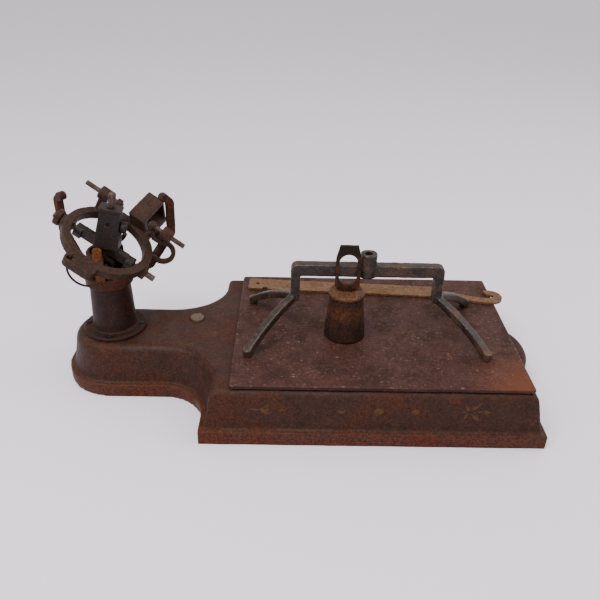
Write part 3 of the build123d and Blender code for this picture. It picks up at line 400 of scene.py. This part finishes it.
base["colour"] = blend(tree, calc(tree, "MULTIPLY", band, 0.6), base["colour"], old(146, 76, 46))
paint = None
for x, z, angle, length, width in leaf_shapes:
    leaf = fed(tree, painted_leaf, {
        "X": x, "Z": z, "Angle": angle, "Length": length, "Width": width})["Leaf"]
    paint = leaf if paint is None else calc(tree, "MAXIMUM", paint, leaf)
front_only = calc(tree, "LESS_THAN", axes_xyz["Y"], FRONT_PAINT_Y)
worn_paint = fed(tree, rust_patches, {"Size": 0.009, "Cover": 0.62, "Seed": 71.0})
kept_paint = calc(tree, "MULTIPLY", calc(tree, "MULTIPLY", paint, front_only), worn_paint["Patch"])
base["colour"] = blend(tree, calc(tree, "MULTIPLY", kept_paint, 0.55), base["colour"], old(124, 98, 52))
base_iron = finish_iron(base)
print("base iron with", len(leaf_shapes), "painted shapes")

# %% [markdown]
# ## Platform paint
# The plate keeps a dull maroon paint, purplish where it is thick, covered in small pale chips and
# scratches. Its front right corner has gone orange, and below its top face the rim is painted dark
# brown as a painted shade on its sides.

# %% Platform paint
plate_low, plate_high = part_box("platform_plate")
plate = iron_layers("platform paint", (78, 50, 48), (94, 63, 58), (70, 49, 43), (98, 66, 50),
                    (116, 88, 76), seed=11.0, size=0.036, cover=0.42, bright=0.12, wear=0.5,
                    dusty=0.14, depth=0.00022)
tree = plate["tree"]
axes_xyz = place_parts(tree)
chips = fed(tree, flecks, {"Size": 0.0052, "Amount": 0.5, "Seed": 3.0})
fine_chips = fed(tree, flecks, {"Size": 0.003, "Amount": 0.54, "Seed": 8.0})
all_chips = calc(tree, "MAXIMUM", chips["Fleck"], fine_chips["Fleck"])
plate["colour"] = blend(tree, calc(tree, "MULTIPLY", all_chips, 0.6), plate["colour"],
                        old(168, 134, 124))
plate["colour"] = blend(tree, calc(tree, "MULTIPLY", chips["Scratch"], 0.45), plate["colour"],
                        old(136, 100, 92))
to_corner = add(tree, "ShaderNodeVectorMath", {
    0: add(tree, "ShaderNodeTexCoord").outputs["Object"], 1: (plate_high.x, plate_low.y, plate_high.z)},
    operation="DISTANCE").outputs["Value"]
to_corner = calc(tree, "SUBTRACT", to_corner, calc(tree, "MULTIPLY", plate["mottle"], 0.04))
corner_rust = calc(tree, "SUBTRACT", 1.0, ramp(tree, to_corner, -0.01, 0.06))
plate["colour"] = blend(tree, calc(tree, "MULTIPLY", corner_rust, 0.75), plate["colour"],
                        old(138, 84, 52))
# Below the top face the plate is darkened to a dark brown: a painted shade on its sides.
rim_shade = calc(tree, "LESS_THAN", axes_xyz["Z"], plate_high.z - 0.0012)
plate["colour"] = blend(tree, calc(tree, "MULTIPLY", rim_shade, 0.6), plate["colour"], old(56, 38, 30))
platform_paint = finish_iron(plate, shine=0.14)
print("platform paint ready")

# %% [markdown]
# ## The other metals
# Each piece gets the same recipe with its own colours and seed. The head and horns are brown, the
# stirrup is nearly black, the cradle is blackened and pale on its ridges, partly worn to steel and
# partly a painted highlight, the weight is dark with an orange patch, and the pins and the weigh beam
# are bare steel with a tan bloom.

# %% Other metals
pillar_layers = iron_layers("pillar iron", (50, 34, 31), (64, 42, 36), (70, 42, 33), (92, 52, 36),
                            (100, 74, 62), seed=21.0, size=0.04, cover=0.35, bright=0.2, wear=0.4)
pillar_iron = finish_iron(pillar_layers)
head_layers = iron_layers("head iron", (62, 48, 41), (82, 63, 53), (80, 54, 43), (104, 66, 46),
                          (120, 98, 82), seed=31.0, size=0.022, cover=0.35, bright=0.2, wear=0.6,
                          depth=0.00024)
head_iron = finish_iron(head_layers)
yoke_layers = iron_layers("yoke iron", (62, 43, 37), (80, 54, 45), (92, 56, 42), (118, 66, 44),
                          (116, 88, 74), seed=37.0, size=0.022, cover=0.5, bright=0.3, wear=0.5)
yoke_iron = finish_iron(yoke_layers)
stirrup_layers = iron_layers("stirrup iron", (40, 36, 32), (54, 47, 41), (62, 46, 38), (84, 58, 42),
                             (104, 94, 82), seed=41.0, size=0.016, cover=0.28, bright=0.14, wear=0.6)
stirrup_iron = finish_iron(stirrup_layers, shine=0.2)
inner_layers = iron_layers("inner iron", (56, 40, 35), (74, 52, 44), (92, 58, 42), (116, 68, 44),
                           (96, 74, 62), seed=51.0, size=0.025, cover=0.6, bright=0.35, fine_mesh=False)
inner_iron = finish_iron(inner_layers)
tab_layers = iron_layers("orange rust", (96, 60, 40), (118, 74, 44), (130, 82, 42), (160, 104, 50),
                         (120, 80, 54), seed=61.0, size=0.008, cover=0.6, bright=0.5, wear=0.3)
orange_rust = finish_iron(tab_layers)
print("irons:", sorted(material.name for material in bpy.data.materials if "iron" in material.name))

# %% [markdown]
# The cradle's skin is nearly black where it is whole. Its ridges are paler, partly from wear and partly
# as a painted highlight, and it is brown where the platform has rubbed it, most of all at the feet, so
# its wear also depends on the height.

# %% Cradle iron
cradle_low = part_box("cradle")[0]
# The pale ridge colour and the high wear paint partly real wear and partly a painted highlight on the
# legs.
cradle_layers = iron_layers("cradle iron", (38, 35, 34), (68, 61, 55), (92, 72, 58), (112, 80, 60),
                            (186, 168, 148), seed=81.0, size=0.022, cover=0.42, bright=0.2, wear=0.9)
cradle_layers["rough"] = calc(cradle_layers["tree"], "MULTIPLY", cradle_layers["rough"], 0.8)
tree = cradle_layers["tree"]
foot_height = calc(tree, "SUBTRACT", place_parts(tree)["Z"], cradle_low.z)
foot_wear = calc(tree, "SUBTRACT", 1.0, ramp(tree, foot_height, 0.004, 0.03))
foot_wear = calc(tree, "MULTIPLY", foot_wear, cradle_layers["mottle"])
cradle_layers["colour"] = blend(tree, calc(tree, "MULTIPLY", foot_wear, 0.5), cradle_layers["colour"],
                                old(122, 92, 72))
cradle_iron = finish_iron(cradle_layers, shine=0.3)
print("cradle iron ready")

# %% [markdown]
# The weight's iron is almost black. An orange stain runs round its upper half, and its top face and rim
# are painted lighter by height alone, a painted highlight where the light from above falls.

# %% Weight iron
weight_low, weight_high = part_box("weight_body")
weight_height = weight_high.z - weight_low.z
weight_layers = iron_layers("weight iron", (54, 38, 33), (70, 50, 42), (80, 54, 43), (104, 66, 45),
                            (150, 114, 90), seed=91.0, size=0.02, cover=0.4, bright=0.25, wear=0.5)
tree = weight_layers["tree"]
above_base = calc(tree, "SUBTRACT", place_parts(tree)["Z"], weight_low.z)
share = calc(tree, "DIVIDE", above_base, weight_height)
waver = scaled(tree, weight_layers["mottle"], 0.25, -0.12)
share = calc(tree, "ADD", share, waver)
below_top = calc(tree, "SUBTRACT", 1.0, ramp(tree, share, 0.66, 0.8))
belt = calc(tree, "MULTIPLY", ramp(tree, share, 0.48, 0.6), below_top)
belt = calc(tree, "MULTIPLY", belt, weight_layers["grit"])
weight_layers["colour"] = blend(tree, calc(tree, "MULTIPLY", belt, 0.6), weight_layers["colour"],
                                old(160, 98, 54))
# The top face and rim are lightened by height alone: a painted highlight.
top_face_highlight = calc(tree, "MULTIPLY", ramp(tree, share, 0.93, 1.02), 0.55)
weight_layers["colour"] = blend(tree, top_face_highlight, weight_layers["colour"], old(176, 132, 98))
weight_iron = finish_iron(weight_layers)
hanger_layers = iron_layers("hanger iron", (44, 34, 30), (60, 44, 37), (96, 60, 42), (120, 70, 42),
                            (104, 80, 64), seed=97.0, size=0.018, cover=0.5, bright=0.3, wear=0.4)
tree = hanger_layers["tree"]
top_dark = ramp(tree, place_parts(tree)["Z"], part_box("weight_hanger")[1].z - 0.016,
                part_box("weight_hanger")[1].z - 0.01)
hanger_layers["colour"] = blend(tree, calc(tree, "MULTIPLY", top_dark, 0.8), hanger_layers["colour"],
                                old(34, 28, 26))
hanger_iron = finish_iron(hanger_layers)
print("weight is", round(1000 * weight_height, 1), "mm high")

# %% [markdown]
# Bare steel shows on the pins, the rod, the screws and the weigh beam. It is metal, so Metallic is
# above zero, but a brown bloom dulls it. The weigh beam was drawn through rollers, and fine lines
# run along it.

# %% Steels
beam_layers = iron_layers("beam steel", (144, 114, 84), (158, 126, 94), (140, 106, 74), (118, 84, 60),
                          (190, 164, 138), seed=101.0, size=0.03, cover=0.35, bright=0.22, wear=0.5,
                          dusty=0.05, depth=0.00008, pits=0.8)
tree = beam_layers["tree"]
beam_lines = add(tree, "ShaderNodeMapping", {
    "Vector": add(tree, "ShaderNodeTexCoord").outputs["Object"], "Rotation": (0, 0, radians(3.4)),
    "Scale": (0.03, 1.0, 1.0)}).outputs[0]
drawn = noise(tree, beam_lines, 0.0009, 2.0, 2.0, 0.6)
beam_layers["colour"] = blend(tree, calc(tree, "MULTIPLY", ramp(tree, drawn, 0.45, 0.7), 0.3),
                              beam_layers["colour"], old(92, 68, 54))
beam_layers["height"] = calc(tree, "ADD", beam_layers["height"], calc(tree, "MULTIPLY", drawn, 0.00006))
beam_steel = finish_iron(beam_layers, metal=0.15, shine=0.2)
pin_layers = iron_layers("pin steel", (96, 84, 78), (122, 108, 100), (88, 68, 58), (104, 72, 54),
                         (150, 138, 128), seed=111.0, size=0.012, cover=0.4, bright=0.2, wear=0.4,
                         dusty=0.0, depth=0.00006)
pin_steel = finish_iron(pin_layers, metal=0.3, shine=0.3)
dark_layers = iron_layers("dark steel", (54, 46, 42), (72, 60, 54), (84, 58, 46), (104, 66, 46),
                          (110, 96, 86), seed=121.0, size=0.012, cover=0.45, bright=0.25, dusty=0.0,
                          depth=0.0001, fine_mesh=False)
dark_steel = finish_iron(dark_layers, metal=0.25, shine=0.2)
seal_layers = iron_layers("seal metal", (112, 98, 84), (134, 120, 102), (96, 84, 70), (108, 92, 70),
                          (150, 138, 120), seed=131.0, size=0.006, cover=0.3, bright=0.1, wear=0.4,
                          depth=0.00014)
seal_metal = finish_iron(seal_layers, shine=0.3)
lead_layers = iron_layers("lead", (104, 104, 106), (124, 124, 126), (92, 92, 94), (112, 110, 108),
                          (140, 140, 142), seed=141.0, size=0.006, cover=0.3, bright=0.1, depth=0.0001,
                          fine_mesh=False)
lead_metal = finish_iron(lead_layers, shine=0.3)
print(len(bpy.data.materials), "materials so far")

# %% [markdown]
# ## Recasting the pieces
# The CAD solids have knife-sharp corners that no casting has. Each visible iron piece is recast:
# a copy of its solid is rebuilt as an even skin of small squares by a voxel Remesh, its corners are
# relaxed by a Smooth modifier, and a Displace modifier with a procedural cloud texture makes it
# slightly uneven. The skin is fine enough for the edge wear to read. Modelling every blend by hand
# would give the same look with far more work, and it would drift from the measured shapes.

# %% Recasting
def recast(node, voxel, relax, uneven, lump, material):
    """Puts a cast copy in the place of a CAD node. Sizes are in millimetres."""
    source = frame["nodes"][node]
    mesh = source.data.copy()
    mesh.transform(source.matrix_world)
    piece = bpy.data.objects.new(node + "_cast", mesh)
    bpy.context.collection.objects.link(piece)
    skin = piece.modifiers.new("skin", "REMESH")
    skin.mode = "VOXEL"
    skin.voxel_size = voxel * MM
    soft = piece.modifiers.new("soft corners", "SMOOTH")
    soft.factor = 0.5
    soft.iterations = relax
    clouds = bpy.data.textures.new(node + " unevenness", "CLOUDS")
    clouds.noise_scale = lump * MM
    clouds.noise_depth = 3
    rough = piece.modifiers.new("unevenness", "DISPLACE")
    rough.texture = clouds
    rough.texture_coords = "LOCAL"
    rough.strength = uneven * MM
    rough.mid_level = 0.5
    bpy.context.view_layer.update()
    ready = piece.evaluated_get(bpy.context.evaluated_depsgraph_get())
    piece.data = bpy.data.meshes.new_from_object(ready)
    piece.modifiers.clear()
    piece.data.materials.clear()
    piece.data.materials.append(material)
    piece.data.shade_smooth()
    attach(piece, body_of[node])
    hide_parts(node)
    print(piece.name, len(piece.data.polygons), "faces")
    return piece


# %% [markdown]
# The large base gets the coarsest skin, 1.8 mm, which still rounds its plinth edge by about a
# millimetre. The plate is thin and flat, so its unevenness is long and low, like a cast plate that
# has warped a little.

# %% Base and platform
recast("base_casting", 1.8, 3, 0.7, 22, base_iron)
recast("platform_plate", 1.3, 2, 0.6, 30, platform_paint)
recast("seal_plug", 0.6, 6, 0.6, 6, seal_metal)

# %% [markdown]
# The pillar, the yoke and the beam lever were cast with rounded corners and are uneven on a scale of
# about a centimetre. The lever's bosses run into its ring in soft hollows, which the Smooth modifier
# gives when it runs more often.

# %% Pillar and head
recast("pillar", 1.0, 4, 0.5, 12, pillar_iron)
recast("beam_yoke", 0.8, 8, 0.6, 9, yoke_iron)
recast("stop_tab", 0.5, 5, 0.5, 4, orange_rust)
recast("beam_lever", 0.8, 8, 0.6, 9, head_iron)
recast("load_stirrup", 0.6, 4, 0.4, 7, stirrup_iron)
recast("stirrup_stem", 0.5, 3, 0.2, 5, pin_steel)
recast("side_screw", 0.5, 5, 0.3, 4, stirrup_iron)
recast("fulcrum_pins", 0.45, 3, 0.15, 5, pin_steel)
recast("load_pins", 0.5, 3, 0.15, 5, pin_steel)

# %% [markdown]
# The hanging irons are small forgings, so their skins are the finest and their corners the roundest.

# %% Hanging irons
recast("shackle_right", 0.5, 9, 0.5, 6, head_iron)
recast("shackle_left", 0.5, 9, 0.5, 6, head_iron)
recast("bearing_loop", 0.5, 7, 0.5, 6, head_iron)

# %% [markdown]
# The cradle's legs are rounded bars with a lumpy surface. The weight is turned and then rusted, and
# its hanger and the weigh beam are cut from strip, so they keep their edges better.

# %% Loose pieces
recast("cradle", 0.9, 12, 0.9, 8, cradle_iron)
recast("weight_body", 0.8, 4, 0.5, 8, weight_iron)
recast("weight_hanger", 0.5, 3, 0.4, 6, hanger_iron)
recast("weigh_beam", 0.7, 2, 0.25, 14, beam_steel)

# %% [markdown]
# ## CAD pieces that stay
# The pieces inside the base and the small round ones have the right shape already. They keep their
# CAD mesh and only get a better material.

# %% Materials on the CAD pieces
kept = {
    "pillar_screws": dark_steel, "long_lever": inner_iron, "short_lever": inner_iron,
    "long_lever_pivots": dark_steel, "short_lever_pivots": dark_steel, "tip_pin": dark_steel,
    "long_lever_stands": inner_iron, "short_lever_stands": inner_iron, "platform_feet": inner_iron,
    "steelyard_rod": dark_steel, "stirrup_eye": dark_steel, "wire_loop": dark_steel,
    "lead_plug": lead_metal,
}
for node, material in kept.items():
    for material_slot in frame["nodes"][node].material_slots:
        material_slot.material = material
print(len(kept), "CAD pieces kept, each with a procedural material")

# %% [markdown]
# ## Floor and light
# The scale stands on a plain pale floor. A pale sky lights it from all round, and one large soft
# lamp above and slightly in front gives the gentle shadow under the front edge.

# %% Floor
FLOOR_SIZE = 12.0
floor_mesh = bpy.data.meshes.new("floor")
half = FLOOR_SIZE / 2
floor_mesh.from_pydata([(-half, -half, 0), (half, -half, 0), (half, half, 0), (-half, half, 0)], [],
                       [(0, 1, 2, 3)])
floor = bpy.data.objects.new("floor", floor_mesh)
bpy.context.collection.objects.link(floor)
floor_material = bpy.data.materials.new("pale floor")
floor_material.use_nodes = True
floor_shader = floor_material.node_tree.nodes["Principled BSDF"]
floor_shader.inputs["Base Color"].default_value = srgb(236, 227, 235)
floor_shader.inputs["Roughness"].default_value = 0.55
floor_mesh.materials.append(floor_material)
print("floor", FLOOR_SIZE, "m wide")

# %% Light
world = bpy.data.worlds.new("pale room")
world.use_nodes = True
world.node_tree.nodes["Background"].inputs["Color"].default_value = (0.93, 0.92, 0.96, 1)
world.node_tree.nodes["Background"].inputs["Strength"].default_value = 1.02
bpy.context.scene.world = world


def soft_lamp(name, place, aim, size, watts):
    """A square area lamp that looks at a point."""
    lamp = bpy.data.lights.new(name, "AREA")
    lamp.size = size
    lamp.energy = watts
    lamp_object = bpy.data.objects.new(name, lamp)
    lamp_object.location = place
    lamp_object.rotation_euler = (Vector(aim) - Vector(place)).to_track_quat("-Z", "Y").to_euler()
    bpy.context.collection.objects.link(lamp_object)
    return lamp_object


soft_lamp("key", (-0.5, -0.7, 1.7), (0, 0, 0.05), 1.2, 36)
soft_lamp("fill", (1.3, 0.2, 1.1), (0, 0, 0.05), 1.2, 9)
print("world and two lamps")
